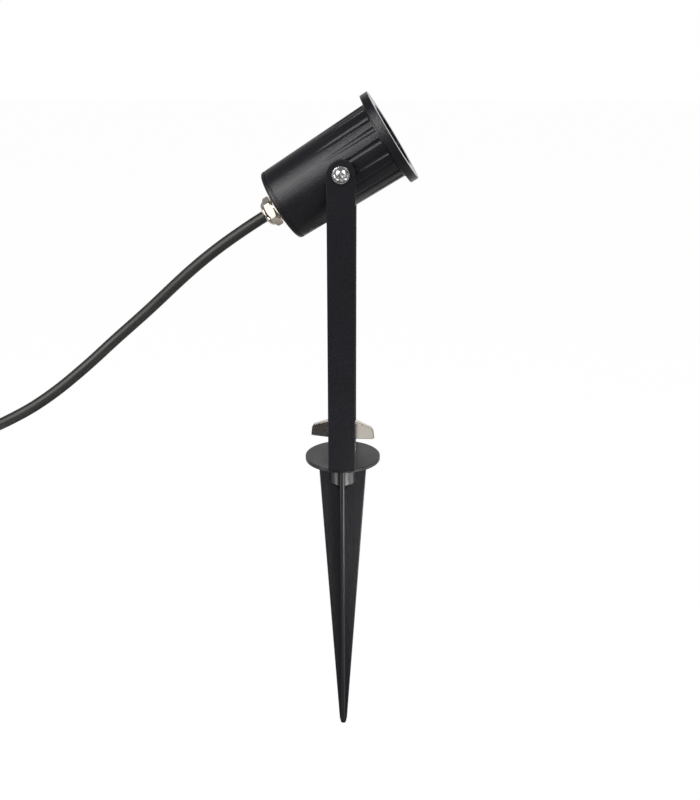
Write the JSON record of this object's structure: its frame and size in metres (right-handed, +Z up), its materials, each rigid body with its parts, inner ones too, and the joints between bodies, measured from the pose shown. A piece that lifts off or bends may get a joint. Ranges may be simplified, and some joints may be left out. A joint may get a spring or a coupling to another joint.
{
  "type": "garden spike spotlight",
  "caption": "Garden spotlight with a fluted round head tilting in a U bracket, a wing nut clamp on a ground disc, a crossed-blade spike, and a rubber cable through a gland.",
  "frame": {"origin": "centre of the ground disc's underside, on the spike's axis, at the level of the soil", "axes": "+Z up along the spike, +X the way the beam leaves, Y along the head's pivot axis; the cable leaves towards -X"},
  "size_m": [0.4599, 0.1189, 0.5226],
  "materials": {
    "black_coat": "satin",
    "dark_coat": "satin",
    "steel": "brushed",
    "polished_steel": "polished",
    "cast_zinc": "cast, worn",
    "nickel": "polished",
    "black_rubber": "matte",
    "black_nylon": "matte",
    "clear_glass": "clear",
    "clear_lens": "clear",
    "ceramic": "glazed ceramic",
    "white_plastic": "smooth",
    "lamp_shell": "satin",
    "light_chip": "smooth",
    "brass": "bright",
    "brown_insulation": "smooth",
    "blue_insulation": "smooth",
    "earth_insulation": "smooth"
  },
  "bodies": {
    "spike": {"ground_spike": "dark_coat", "clamp_stud": "steel"},
    "bracket": {"bracket": "black_coat", "cable_run": "black_rubber", "cable_coil": "black_rubber", "cable_ties": "black_nylon", "core_live": "brown_insulation", "core_neutral": "blue_insulation", "core_earth": "earth_insulation", "core_ferrules": "steel"},
    "clamp_washers": {"flat_washer": "steel", "spring_washer": "steel"},
    "wing_nut": {"wing_nut": "cast_zinc"},
    "head": {"head_casting": "black_coat", "friction_washers": "black_nylon", "pivot_washers": "steel", "pivot_screws": "polished_steel", "rear_cap": "black_coat", "cap_gasket": "black_rubber", "cap_screws": "steel", "gland_washer": "black_rubber", "gland_body": "nickel", "gland_seal": "black_rubber", "gland_nut": "nickel", "gland_locknut": "nickel", "holder_bridge": "steel", "bridge_screws": "steel", "lamp_holder": "ceramic", "holder_contacts": "brass", "holder_screws": "steel", "earth_screw": "brass", "earth_tag": "steel", "lead_live": "brown_insulation", "lead_neutral": "blue_insulation", "lead_earth": "earth_insulation", "cable_in_gland": "black_rubber"},
    "front_glass": {"cover_glass": "clear_glass", "glass_gasket": "black_rubber"},
    "bezel": {"bezel": "black_coat"},
    "lamp": {"lamp_base": "white_plastic", "lamp_pins": "brass", "lamp_body": "lamp_shell", "light_board": "white_plastic", "light_chips": "light_chip", "lamp_lens": "clear_lens"}
  },
  "joints": [
    {"name": "bracket_swivel", "type": "hinge", "parent": "spike", "child": "bracket", "pos_m": [0, 0, 0.0045], "axis": [0, 0, 1], "continuous": true},
    {"name": "head_tilt", "type": "hinge", "parent": "bracket", "child": "head", "pos_m": [0, 0, 0.225], "axis": [0, 1, 0], "range_deg": [-57.8, 86]},
    {"name": "washer_lift", "type": "slide", "parent": "spike", "child": "clamp_washers", "axis": [0, 0, 1], "range_m": [0, 0.0061]},
    {"name": "nut_turn", "type": "hinge", "parent": "clamp_washers", "child": "wing_nut", "pos_m": [0, 0, 0.0167], "axis": [0, 0, 1], "range_deg": [0, 1440]},
    {"name": "glass_slide", "type": "slide", "parent": "head", "child": "front_glass", "axis": [0.8462, 0, 0.5329], "range_m": [0, 0.0038]},
    {"name": "bezel_turn", "type": "hinge", "parent": "front_glass", "child": "bezel", "pos_m": [0, 0, 0.225], "axis": [0.8462, 0, 0.5329], "range_deg": [0, 900]},
    {"name": "lamp_twist", "type": "hinge", "parent": "head", "child": "lamp", "pos_m": [0, 0, 0.225], "axis": [0.8462, 0, 0.5329], "range_deg": [0, 30]}
  ],
  "couplings": [
    {"joint": "washer_lift", "follows": "nut_turn", "m_per_rad": 0.00023873},
    {"joint": "glass_slide", "follows": "bezel_turn", "m_per_rad": 0.00023873}
  ]
}
